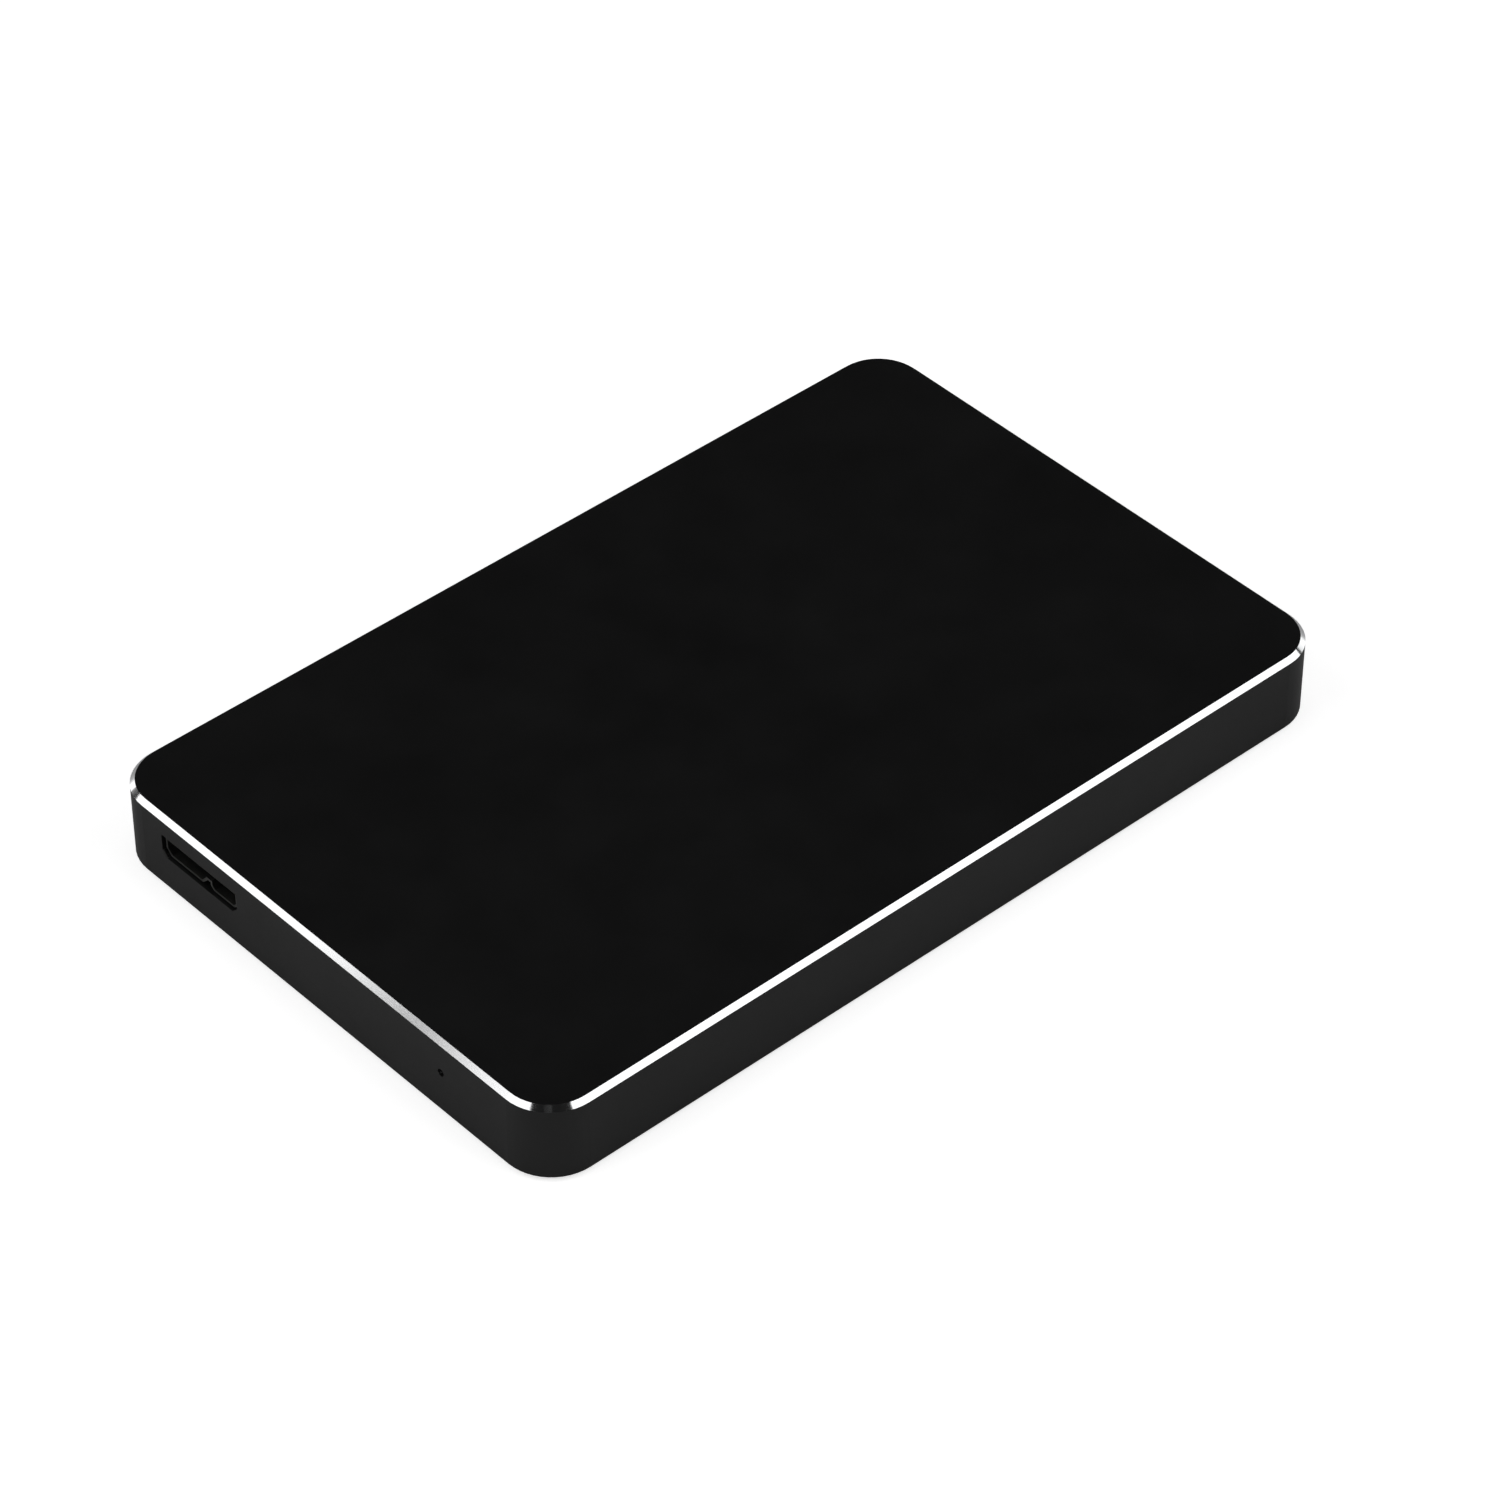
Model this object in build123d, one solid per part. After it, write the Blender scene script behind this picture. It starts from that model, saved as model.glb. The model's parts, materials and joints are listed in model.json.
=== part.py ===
from build123d import *
import os

# A pocket solid state drive in millimetres: +Z up, +Y along its length, +X across it.
# The socket end faces -Y. The origin is under the middle of the drive, on the plane
# that the four rubber feet stand on.
#
# A one-piece aluminium shell has a roof, four walls and a chamfer cut round the roof's
# edge. A plastic cover closes it from below: two tongues hold the cover at the rear and
# two screws, hidden by the front feet, hold it at the front. A plastic frame clips into
# the shell. It carries a 2.5 inch SATA drive between two foam pads and, in front of the
# drive, the USB bridge board, which plugs straight into the drive.

# ---- Case ----
CASE_WIDTH = 76.0
CASE_LENGTH = 120.0
CASE_HEIGHT = 10.5
CORNER_RADIUS = 6.3
EDGE_CHAMFER = 0.6
RIM_FILLET = 0.25
WALL = 1.2
ROOF = 1.0
FLOOR = 1.0
SEAM = 0.12
COVER_FILLET = 0.2
FOOT_PROUD = 0.5
FOOT_SINK = 0.5
FOOT_R = 3.25
FOOT_FILLET = 0.35
FOOT_X = 31.5
FOOT_Y = 52.0

CASE_Z0 = FOOT_PROUD
CASE_Z1 = CASE_Z0 + CASE_HEIGHT
ROOF_Z = CASE_Z1 - ROOF
DECK_Z = CASE_Z0 + FLOOR
HALF_W = CASE_WIDTH / 2
HALF_L = CASE_LENGTH / 2
INNER_HALF_W = HALF_W - WALL
INNER_HALF_L = HALF_L - WALL
INNER_RADIUS = CORNER_RADIUS - WALL
FRONT_Y = -HALF_L
OVERCUT = 1.0

# ---- Frame, its snap lugs and the cover's tongues ----
FRAME_GAP = 0.15
BAY_GAP = 0.18
TRAY_T = 1.0
LUG_YS = [-30.0, 6.0, 40.0]
LUG_LENGTH = 5.0
LUG_Z0 = 4.0
LUG_Z1 = 5.2
LUG_REACH = 0.4
LUG_POCKET_GAP = 0.1
TONGUE_X = 18.0
TONGUE_HALF_W = 4.0
TONGUE_HIGH = 0.8
TONGUE_REACH = 0.35

# ---- 2.5 inch drive ----
DRIVE_WIDTH = 69.85
DRIVE_LENGTH = 100.2
DRIVE_HEIGHT = 7.0
DRIVE_REAR_GAP = 2.2
DRIVE_WALL = 1.0
DRIVE_LID = 1.2
DRIVE_CORNER = 2.0
DRIVE_HALF_W = DRIVE_WIDTH / 2
DRIVE_HALF_L = DRIVE_LENGTH / 2
DRIVE_Z0 = DECK_Z + (ROOF_Z - DECK_Z - DRIVE_HEIGHT) / 2
DRIVE_Z1 = DRIVE_Z0 + DRIVE_HEIGHT
DRIVE_REAR = INNER_HALF_L - DRIVE_REAR_GAP
DRIVE_FRONT = DRIVE_REAR - DRIVE_LENGTH
DRIVE_Y = (DRIVE_REAR + DRIVE_FRONT) / 2
DRIVE_FLOOR_Z = DRIVE_Z0 + DRIVE_WALL
DRIVE_LID_Z = DRIVE_Z1 - DRIVE_LID
FRAME_TOP = DRIVE_Z1 - 0.2

# ---- Bridge board, hung with its components downwards ----
BOARD_Z0 = 7.95
BOARD_T = 0.8
BOARD_Z1 = BOARD_Z0 + BOARD_T
BOARD_FRONT = FRONT_Y + WALL + 0.5
BOARD_REAR = DRIVE_FRONT - 2.6
BOARD_HALF_W = 28.6
BOARD_CORNER = 0.6
POST_SPOTS = [(-25.2, -49.0), (26.2, -49.0)]
POST_R = 1.8
CHIP_ROW_Y = -54.9
REAR_ROW_Y = -51.4
FRONT_ROW_Y = -57.2

# ---- USB 3 micro-B socket: the keyed side is down ----
PORT_X = -21.5
PORT_WIDTH = 12.3
PORT_HEIGHT = 1.9
PORT_SHEET = 0.3
PORT_CLEARANCE = 0.3
PORT_RECESS = 0.35
PORT_DEPTH = 5.75
PORT_TOP = BOARD_Z0
PORT_MOUTH = FRONT_Y + PORT_RECESS
PORT_REAR = PORT_MOUTH + PORT_DEPTH
USB_PINS = 5
USB_PITCH = 0.65
USB_PIN_W = 0.32
USB_PIN_T = 0.12
USB_TONGUES = [(-2.7, 2.0), (4.05, 1.75)]
USB_TONGUE_T = 0.6
USB_TONGUE_Z0 = PORT_TOP - PORT_SHEET - 1.15
USB_TONGUE_Z1 = USB_TONGUE_Z0 + USB_TONGUE_T

# ---- Lamp ----
LAMP_X = 20.7
LAMP_Z = 6.34
LAMP_HOLE_R = 0.5
LAMP_HEIGHT = 0.6
GUIDE_T = 1.4
GUIDE_RECESS = 0.35

# ---- Screws: radius of shank and head ----
COVER_SCREW = (0.98, 1.95)
BOARD_SCREW = (0.72, 1.4)
CORE_SCREW = (0.85, 1.75)
COVER_HOLE_R = 1.1
BOSS_Z0 = DECK_Z + 1.2
BOSS_HIGH = 3.6
INSERT_R = 1.6
INSERT_HIGH = 2.6

# ---- SATA plug on the drive and socket on the bridge board ----
SATA_X = 4.8
SATA_Z = DRIVE_Z0 + DRIVE_HEIGHT / 2
SATA_PITCH = 1.27
SIGNAL_PINS = 7
POWER_PINS = 15
SIGNAL_WIDTH = 10.41
POWER_WIDTH = 20.57
SATA_GAP = 2.41
BLADE_T = 1.24
KEY_WIDTH = 0.9
KEY_DROP = 1.0
PAD_T = 0.06
SOCKET_HALF_W = 18.8
SIGNAL_X = SATA_X - (SATA_GAP + POWER_WIDTH) / 2
POWER_X = SATA_X + (SATA_GAP + SIGNAL_WIDTH) / 2
BLADE_TIP = DRIVE_FRONT + 0.5
BLADE_ROOT = DRIVE_FRONT + 6.2
NOSE_TIP = DRIVE_FRONT + 5.0
SOCKET_REAR = DRIVE_FRONT - 6.0
SLOT_BOTTOM = DRIVE_FRONT - 0.8

# ---- The drive's own circuit board ----
CORE_T = 0.8
CORE_Z0 = DRIVE_FLOOR_Z + 1.0
CORE_Z1 = CORE_Z0 + CORE_T
CORE_FRONT = BLADE_ROOT + 0.3
CORE_REAR = CORE_FRONT + 47.1
CORE_HALF_W = 27.8
CORE_SPOTS = [(-25.5, -31.0), (25.5, -31.0), (0.0, 7.2)]
CHIP_HIGH = 1.2
CHIP_TOP = CORE_Z1 + CHIP_HIGH
FLASH_XS = [-21.0, -7.0, 7.0, 21.0]
FLASH_Y = -5.2
CONTROLLER_X = -6.0
CONTROLLER_Y = -24.4
MOUNT_X = 30.86
MOUNT_YS = [DRIVE_FRONT + 14.0, DRIVE_FRONT + 90.6]
MOUNT_CORE_R = 1.25
LID_SCREW_EDGE = 3.0


# ---- Building blocks ----
def block(x0, x1, y0, y1, z0, z1):
    """A box between two opposite corners."""
    middle = ((x0 + x1) / 2, (y0 + y1) / 2, (z0 + z1) / 2)
    return Pos(*middle) * Box(x1 - x0, y1 - y0, z1 - z0)


def brick(x, y, width, length, z0, z1, corner=0.0):
    """A box centred on a spot, with its upright edges rounded if asked."""
    body = block(x - width / 2, x + width / 2, y - length / 2, y + length / 2, z0, z1)
    if corner:
        body = fillet(body.edges().filter_by(Axis.Z), corner)
    return body


def slab(half_w, half_l, radius, z0, z1, y=0.0):
    """A flat plate with rounded corners, centred on the drive's long axis."""
    outline = RectangleRounded(2 * half_w, 2 * half_l, radius)
    return Pos(0, y, z0) * extrude(outline, z1 - z0)


def rod(x, y, z0, z1, radius):
    """An upright round bar."""
    return Pos(x, y, (z0 + z1) / 2) * Cylinder(radius, z1 - z0)


def rod_along_y(x, z, y0, y1, radius):
    """A round bar along the drive's length."""
    return Pos(x, (y0 + y1) / 2, z) * Rot(90, 0, 0) * Cylinder(radius, y1 - y0)


def cone(x, y, z0, z1, low_r, high_r):
    """An upright cone between two heights."""
    return Pos(x, y, (z0 + z1) / 2) * Cone(low_r, high_r, z1 - z0)


def cross_recess(x, y, z, across, slot=0.32, depth=0.45):
    """The cross cut in a screw's head, as deep above z as below it."""
    arms = Box(across, slot, 2 * depth) + Box(slot, across, 2 * depth)
    return Pos(x, y, z) * arms


def both_sides(shape):
    """The shape and its mirror image across the drive's long axis."""
    return shape + mirror(shape, Plane.YZ)


def together(shapes):
    """Several separate solids as one node."""
    return Compound(children=list(shapes))


def top_edges(body):
    return body.faces().sort_by(Axis.Z)[-1].edges()


def bottom_edges(body):
    return body.faces().sort_by(Axis.Z)[0].edges()


# ---- Port outline, seen from the front: X to the right, the keyed side down ----
def port_outline(grow=0.0):
    """The socket's inner outline, grown outwards if asked. The wider part is on the left."""
    left = -PORT_WIDTH / 2
    right = PORT_WIDTH / 2
    low = -PORT_HEIGHT
    step = left + 6.9
    notch = 1.15
    bevel = 0.7
    small_bevel = 0.4
    points = [
        (left, 0),
        (right, 0),
        (right, low + small_bevel),
        (right - small_bevel, low),
        (step + notch + small_bevel, low),
        (step + notch, low + small_bevel),
        (step + notch, low / 2),
        (step, low / 2),
        (step, low + bevel),
        (step - bevel, low),
        (left + bevel, low),
        (left, low + bevel),
    ]
    outline = make_face(Polyline(*points, close=True))
    return offset(outline, grow, kind=Kind.INTERSECTION) if grow else outline


def port_prism(outline, y0, y1):
    """An outline on the port's plane, carried along Y from y0 to y1."""
    top = PORT_TOP - PORT_SHEET
    plane = Plane(origin=(PORT_X, y0, top), x_dir=(1, 0, 0), z_dir=(0, -1, 0))
    return plane * extrude(outline, y0 - y1)


def port_cutout():
    """The opening in the wall that the socket looks out of: keyed corners, no notch."""
    margin = PORT_SHEET + PORT_CLEARANCE
    half_w = PORT_WIDTH / 2 + margin
    low = -PORT_HEIGHT - margin
    bevel = 0.85
    points = [
        (-half_w, margin),
        (half_w, margin),
        (half_w, low + bevel),
        (half_w - bevel, low),
        (-half_w + bevel, low),
        (-half_w, low + bevel),
    ]
    outline = make_face(Polyline(*points, close=True))
    outline = fillet(outline.vertices(), 0.25)
    return port_prism(outline, FRONT_Y - OVERCUT, FRONT_Y + WALL + OVERCUT)


# ---- Enclosure ----
def lug(reach, gap, y):
    """A snap lug on the right-hand side, or the pocket that takes it."""
    half = LUG_LENGTH / 2 + gap
    inner = INNER_HALF_W - FRAME_GAP
    outer = INNER_HALF_W + reach
    return block(inner, outer, y - half, y + half, LUG_Z0 - gap, LUG_Z1 + gap)


def cover_tongue(front, reach, gap):
    """The right-hand rear tongue of the cover, or the pocket that takes it."""
    half = TONGUE_HALF_W + gap
    return block(
        TONGUE_X - half,
        TONGUE_X + half,
        front,
        INNER_HALF_L + reach,
        DECK_Z - gap,
        DECK_Z + TONGUE_HIGH + gap,
    )


def top_shell():
    body = slab(HALF_W, HALF_L, CORNER_RADIUS, CASE_Z0, CASE_Z1)
    body = chamfer(top_edges(body), EDGE_CHAMFER)
    body = fillet(bottom_edges(body), RIM_FILLET)
    body -= slab(INNER_HALF_W, INNER_HALF_L, INNER_RADIUS, CASE_Z0, ROOF_Z)
    body -= port_cutout()
    wall_end = FRONT_Y + WALL + OVERCUT
    body -= rod_along_y(LAMP_X, LAMP_Z, FRONT_Y - OVERCUT, wall_end, LAMP_HOLE_R)
    for y in LUG_YS:
        body -= both_sides(lug(LUG_REACH + LUG_POCKET_GAP, LUG_POCKET_GAP, y))
    body -= both_sides(cover_tongue(INNER_HALF_L - FRAME_GAP, TONGUE_REACH + SEAM, SEAM))
    return body


def bottom_cover():
    half_w = INNER_HALF_W - SEAM
    half_l = INNER_HALF_L - SEAM
    body = slab(half_w, half_l, INNER_RADIUS - SEAM, CASE_Z0, DECK_Z)
    body = fillet(bottom_edges(body), COVER_FILLET)
    body += both_sides(cover_tongue(DRIVE_REAR + 0.5, TONGUE_REACH, 0.0))
    for x, y in screw_spots():
        body += rod(x, y, DECK_Z, BOSS_Z0, FOOT_R - 0.25)
    for x, y in foot_spots().values():
        body -= rod(x, y, CASE_Z0 - OVERCUT, CASE_Z0 + FOOT_SINK, FOOT_R + 0.1)
    head_r = COVER_SCREW[1]
    head_z = CASE_Z0 + FOOT_SINK
    for x, y in screw_spots():
        body -= rod(x, y, CASE_Z0, BOSS_Z0 + OVERCUT, COVER_HOLE_R)
        body -= cone(x, y, head_z, head_z + head_r - COVER_HOLE_R, head_r, COVER_HOLE_R)
    return body


def foot_spots():
    return {
        "foot_front_left": (-FOOT_X, -FOOT_Y),
        "foot_front_right": (FOOT_X, -FOOT_Y),
        "foot_rear_left": (-FOOT_X, FOOT_Y),
        "foot_rear_right": (FOOT_X, FOOT_Y),
    }


def screw_spots():
    """The cover's screws are above the two front feet."""
    return [spot for name, spot in foot_spots().items() if "front" in name]


def rubber_foot(x, y):
    body = rod(x, y, 0, CASE_Z0 + FOOT_SINK, FOOT_R)
    return fillet(bottom_edges(body), FOOT_FILLET)


def cover_screws():
    """Two countersunk M2 screws, pointing up."""
    shank_r, head_r = COVER_SCREW
    z0 = CASE_Z0 + FOOT_SINK
    neck = z0 + head_r - shank_r
    made = []
    for x, y in screw_spots():
        body = cone(x, y, z0, neck, head_r, shank_r)
        body += rod(x, y, neck, z0 + 4.6, shank_r)
        made.append(body - cross_recess(x, y, z0, head_r, depth=0.55))
    return together(made)


def thread_inserts():
    """Two brass inserts with two grooves each, pressed into the frame from below."""
    groove_depth = 0.15
    groove_half = 0.15
    made = []
    for x, y in screw_spots():
        body = rod(x, y, BOSS_Z0, BOSS_Z0 + INSERT_HIGH, INSERT_R)
        for z in (BOSS_Z0 + 0.8, BOSS_Z0 + 1.8):
            ring = rod(x, y, z - groove_half, z + groove_half, INSERT_R + OVERCUT)
            body -= ring - rod(x, y, z - OVERCUT, z + OVERCUT, INSERT_R - groove_depth)
        bore_r = COVER_SCREW[0] + 0.02
        made.append(body - rod(x, y, BOSS_Z0 - OVERCUT, BOSS_Z0 + 4, bore_r))
    return together(made)


def frame_ring():
    """The frame's outer ring, with a bay for the drive and a tray under the board."""
    outer_w = INNER_HALF_W - FRAME_GAP
    outer_l = INNER_HALF_L - FRAME_GAP
    bay_w = DRIVE_HALF_W + BAY_GAP
    bay_l = DRIVE_HALF_L + BAY_GAP
    below = DECK_Z - OVERCUT
    above = FRAME_TOP + OVERCUT
    body = slab(outer_w, outer_l, INNER_RADIUS - FRAME_GAP, DECK_Z, FRAME_TOP)
    body -= slab(bay_w, bay_l, DRIVE_CORNER, below, above, y=DRIVE_Y)
    front = FRONT_Y + WALL + 1.3
    rear = DRIVE_FRONT + 3
    half = (rear - front) / 2
    tray = DECK_Z + TRAY_T
    body -= slab(bay_w, half, INNER_RADIUS - 1.5, tray, above, y=front + half)
    port_side = BOARD_HALF_W + 0.9
    body -= block(-port_side, port_side, FRONT_Y, front + 0.1, below, above)
    window_ends = (front + 1.5, DRIVE_FRONT - 1.6)
    for x0, x1 in ((-26, -14.5), (-12.5, -1), (1, 12.5), (14.5, 26)):
        body -= block(x0, x1, *window_ends, below, tray + OVERCUT)
    return body


def inner_frame():
    """The ring, plus snap lugs, bosses for the inserts and posts for the bridge board."""
    body = frame_ring()
    for y in LUG_YS:
        body += both_sides(lug(LUG_REACH, 0.0, y))
    boss_top = BOSS_Z0 + BOSS_HIGH
    wall_x = DRIVE_HALF_W + 0.7
    for x, y in screw_spots():
        body -= rod(x, y, DECK_Z - OVERCUT, BOSS_Z0, FOOT_R - 0.1)
        reach = sorted((x, wall_x if x > 0 else -wall_x))
        body += block(*reach, y - 1, y + 1, BOSS_Z0, boss_top)
        body += rod(x, y, BOSS_Z0, boss_top, 2.4)
        body -= rod(x, y, BOSS_Z0 - 0.5, BOSS_Z0 + INSERT_HIGH, INSERT_R)
        body -= rod(x, y, BOSS_Z0 + 2.5, boss_top + OVERCUT, COVER_HOLE_R)
    for x, y in POST_SPOTS:
        body += rod(x, y, DECK_Z, BOARD_Z0, POST_R)
        body -= rod(x, y, BOARD_Z0 - 3.2, BOARD_Z0 + OVERCUT, BOARD_SCREW[0])
    body -= both_sides(cover_tongue(DRIVE_REAR, 0.0, 0.3))
    return body


def foam_pad(half_w, half_l, z0, z1):
    return slab(half_w, half_l, 3.0, z0, z1, y=DRIVE_Y)


# ---- Bridge board and what is soldered under it ----
def leg_spots():
    """Where the USB sleeve's four legs go through the board."""
    half_w = (PORT_WIDTH + PORT_SHEET) / 2
    near = FRONT_Y + 2.6
    far = near + 2.2
    return [(PORT_X + side * half_w, y) for side in (-1, 1) for y in (near, far)]


def bridge_board():
    body = block(-BOARD_HALF_W, BOARD_HALF_W, BOARD_FRONT, BOARD_REAR, BOARD_Z0, BOARD_Z1)
    body = fillet(body.edges().filter_by(Axis.Z), BOARD_CORNER)
    for x, y in POST_SPOTS:
        body -= rod(x, y, BOARD_Z0 - OVERCUT, BOARD_Z1 + OVERCUT, BOARD_SCREW[0] + 0.2)
    for x, y in leg_spots():
        body -= brick(x, y, 0.6, 1.5, BOARD_Z0 - OVERCUT, BOARD_Z1 + OVERCUT)
    return body


def usb_shell():
    """A folded sheet-metal sleeve with four legs and two latch windows."""
    body = port_prism(port_outline(PORT_SHEET), PORT_MOUTH, PORT_REAR)
    body -= port_prism(port_outline(), PORT_MOUTH - OVERCUT, PORT_REAR + OVERCUT)
    for x, y in leg_spots():
        body += brick(x, y, PORT_SHEET, 1.2, PORT_TOP - 0.6, BOARD_Z1)
    for x in (PORT_X - 4.4, PORT_X - 1.0):
        body -= brick(x, PORT_MOUTH + 2.3, 1.0, 1.4, PORT_TOP - 0.5, PORT_TOP)
    return body


def usb_contacts():
    """Spring strips: along the tongue's underside, out of the back, up to the board."""
    low = USB_TONGUE_Z0 - USB_PIN_T / 2
    high = low + USB_PIN_T
    back = PORT_REAR + 0.5
    made = []
    for middle, _ in USB_TONGUES:
        for number in range(USB_PINS):
            x = PORT_X + middle + (number - (USB_PINS - 1) / 2) * USB_PITCH
            sides = (x - USB_PIN_W / 2, x + USB_PIN_W / 2)
            strip = block(*sides, PORT_MOUTH + 1.0, back, low, high)
            strip += block(*sides, back - USB_PIN_T, back, low, BOARD_Z0)
            strip += block(*sides, back, back + 0.7, BOARD_Z0 - USB_PIN_T, BOARD_Z0)
            made.append(strip)
    return together(made)


def usb_insulator():
    """The moulding that closes the sleeve's back and carries both tongues."""
    body = port_prism(port_outline(), PORT_MOUTH + 4.0, PORT_REAR)
    front = PORT_MOUTH + 0.8
    for middle, half_w in USB_TONGUES:
        x = PORT_X + middle
        sides = (x - half_w, x + half_w)
        tongue = block(*sides, front, PORT_REAR - 1, USB_TONGUE_Z0, USB_TONGUE_Z1)
        body += chamfer(tongue.faces().sort_by(Axis.Y)[0].edges(), 0.15)
    return body - usb_contacts()


def activity_led():
    body = brick(LAMP_X, FRONT_Y + 4.0, 1.6, 0.8, BOARD_Z0 - LAMP_HEIGHT, BOARD_Z0)
    return fillet(bottom_edges(body), 0.12)


def light_guide():
    """A clear prism that turns the lamp's light forwards, with a nose in the wall's hole."""
    half_w = 0.9
    low = LAMP_Z - GUIDE_T / 2
    high = low + GUIDE_T
    front = FRONT_Y + WALL + 0.15
    rear = FRONT_Y + 4.9
    hook = rear - 0.4
    under_lamp = BOARD_Z0 - LAMP_HEIGHT - 0.15
    side = [
        (front, low),
        (rear - GUIDE_T, low),
        (rear, high),
        (rear, BOARD_Z0),
        (hook, BOARD_Z0),
        (hook, under_lamp),
        (rear - 1.8, under_lamp),
        (rear - 1.8, high),
        (front, high),
    ]
    profile = make_face(Plane.YZ * Polyline(*side, close=True))
    body = Pos(LAMP_X - half_w, 0, 0) * extrude(profile, 2 * half_w, dir=(1, 0, 0))
    nose_r = LAMP_HOLE_R - 0.03
    nose = rod_along_y(LAMP_X, LAMP_Z, FRONT_Y + GUIDE_RECESS, front + 0.2, nose_r)
    nose = fillet(nose.faces().sort_by(Axis.Y)[0].edges(), 0.15)
    return body + nose


def hung_part(x, y, width, length, height, corner=0.0):
    """A component soldered to the underside of the bridge board."""
    return brick(x, y, width, length, BOARD_Z0 - height, BOARD_Z0, corner)


def standing_part(x, y, width, length, height, corner=0.0):
    """A component soldered to the top of the drive's circuit board."""
    return brick(x, y, width, length, CORE_Z1, CORE_Z1 + height, corner)


def with_pin_mark(body):
    """A chip with the round dimple that marks its first pin, on its free face."""
    box = body.bounding_box()
    inset = 0.15 * min(box.size.X, box.size.Y)
    hangs = abs(box.max.Z - BOARD_Z0) < 0.01
    free = box.min.Z if hangs else box.max.Z
    depth = 0.08
    return body - rod(box.min.X + inset, box.min.Y + inset, free - depth, free + depth, 0.3)


def bridge_chip():
    return with_pin_mark(hung_part(x=-4.5, y=CHIP_ROW_Y, width=6, length=6, height=0.85))


def firmware_chip():
    return with_pin_mark(hung_part(x=4.6, y=CHIP_ROW_Y, width=4, length=3, height=0.7))


def board_crystal():
    body = hung_part(
        x=-11.2, y=CHIP_ROW_Y, width=3.2, length=2.5, height=0.7, corner=0.5
    )
    return fillet(bottom_edges(body), 0.15)


def board_inductor():
    return hung_part(x=11.4, y=CHIP_ROW_Y, width=3, length=3, height=1.3, corner=0.5)


def board_regulator():
    return with_pin_mark(hung_part(x=15.8, y=CHIP_ROW_Y, width=2, length=2, height=0.75))


def board_capacitors():
    spots = [(x, REAR_ROW_Y) for x in (-9.0, -7.2, -5.4, -3.6, -1.8, 0.0)]
    spots += [(x, FRONT_ROW_Y) for x in (8.6, 10.4, 12.2, 14.0, 15.8)]
    return together(hung_part(x, y, width=1, length=0.5, height=0.5) for x, y in spots)


def board_resistors():
    spots = [(x, REAR_ROW_Y) for x in (3.4, 5.0, 6.6, 8.2)]
    spots += [(x, FRONT_ROW_Y) for x in (-12.0, -10.0)]
    spots += [(23.4, y) for y in (-56.2, -55.0)]
    return together(hung_part(x, y, width=1, length=0.5, height=0.35) for x, y in spots)


def pan_head_screws(spots, seat, tip, size, head_high):
    """Screws that point down, with a rounded head and a cross recess."""
    shank_r, head_r = size
    top = seat + head_high
    made = []
    for x, y in spots:
        head = rod(x, y, seat, top, head_r)
        head = fillet(top_edges(head), head_high / 2.4)
        body = head + rod(x, y, tip, seat, shank_r)
        made.append(body - cross_recess(x, y, top, head_r))
    return together(made)


def board_screws():
    """Two M1.6 screws that hold the bridge board on the frame's posts."""
    return pan_head_screws(POST_SPOTS, BOARD_Z1, BOARD_Z0 - 2.8, BOARD_SCREW, 0.7)


# ---- SATA plug and socket ----
def sata_pin_xs():
    groups = ((SIGNAL_X, SIGNAL_PINS), (POWER_X, POWER_PINS))
    return [
        middle + (number - (count - 1) / 2) * SATA_PITCH
        for middle, count in groups
        for number in range(count)
    ]


def sata_blades(grow, y0, y1):
    """Both L-shaped blades of the plug, grown by so much all round."""
    half_t = BLADE_T / 2 + grow
    low = SATA_Z - half_t
    high = SATA_Z + half_t
    signal = (SIGNAL_X - SIGNAL_WIDTH / 2, SIGNAL_X + SIGNAL_WIDTH / 2)
    power = (POWER_X - POWER_WIDTH / 2, POWER_X + POWER_WIDTH / 2)
    keys = ((signal[0], signal[0] + KEY_WIDTH), (power[1] - KEY_WIDTH, power[1]))
    body = block(signal[0] - grow, signal[1] + grow, y0, y1, low, high)
    body += block(power[0] - grow, power[1] + grow, y0, y1, low, high)
    for x0, x1 in keys:
        body += block(x0 - grow, x1 + grow, y0, y1, low - KEY_DROP, high)
    return body


def ssd_sata_plug():
    """The drive's plug: a body on the circuit board and two keyed blades."""
    half_w = SOCKET_HALF_W + 0.5
    sides = (SATA_X - half_w, SATA_X + half_w)
    body = block(*sides, BLADE_ROOT, BLADE_ROOT + 4.0, CORE_Z1, DRIVE_LID_Z - 0.1)
    return body + sata_blades(0.0, BLADE_TIP, BLADE_ROOT + 0.2)


def ssd_plug_contacts():
    """Gold strips under the plug's blades, at the standard pitch."""
    top = SATA_Z - BLADE_T / 2
    length = BLADE_ROOT - BLADE_TIP - 0.7
    middle = BLADE_ROOT - length / 2
    return together(brick(x, middle, 0.84, length, top - PAD_T, top) for x in sata_pin_xs())


def sata_socket_contacts():
    """Spring strips that press up on the plug's strips and turn up to the board."""
    high = SATA_Z - BLADE_T / 2 - PAD_T - 0.02
    strip_t = 0.2
    low = high - strip_t
    back = SOCKET_REAR - strip_t
    made = []
    for x in sata_pin_xs():
        sides = (x - 0.3, x + 0.3)
        strip = block(*sides, back, NOSE_TIP - 0.8, low, high)
        strip += block(*sides, back - strip_t, back, low, BOARD_Z0)
        strip += block(*sides, back - 1.1, back - strip_t, BOARD_Z0 - strip_t, BOARD_Z0)
        made.append(strip)
    return together(made)


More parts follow.
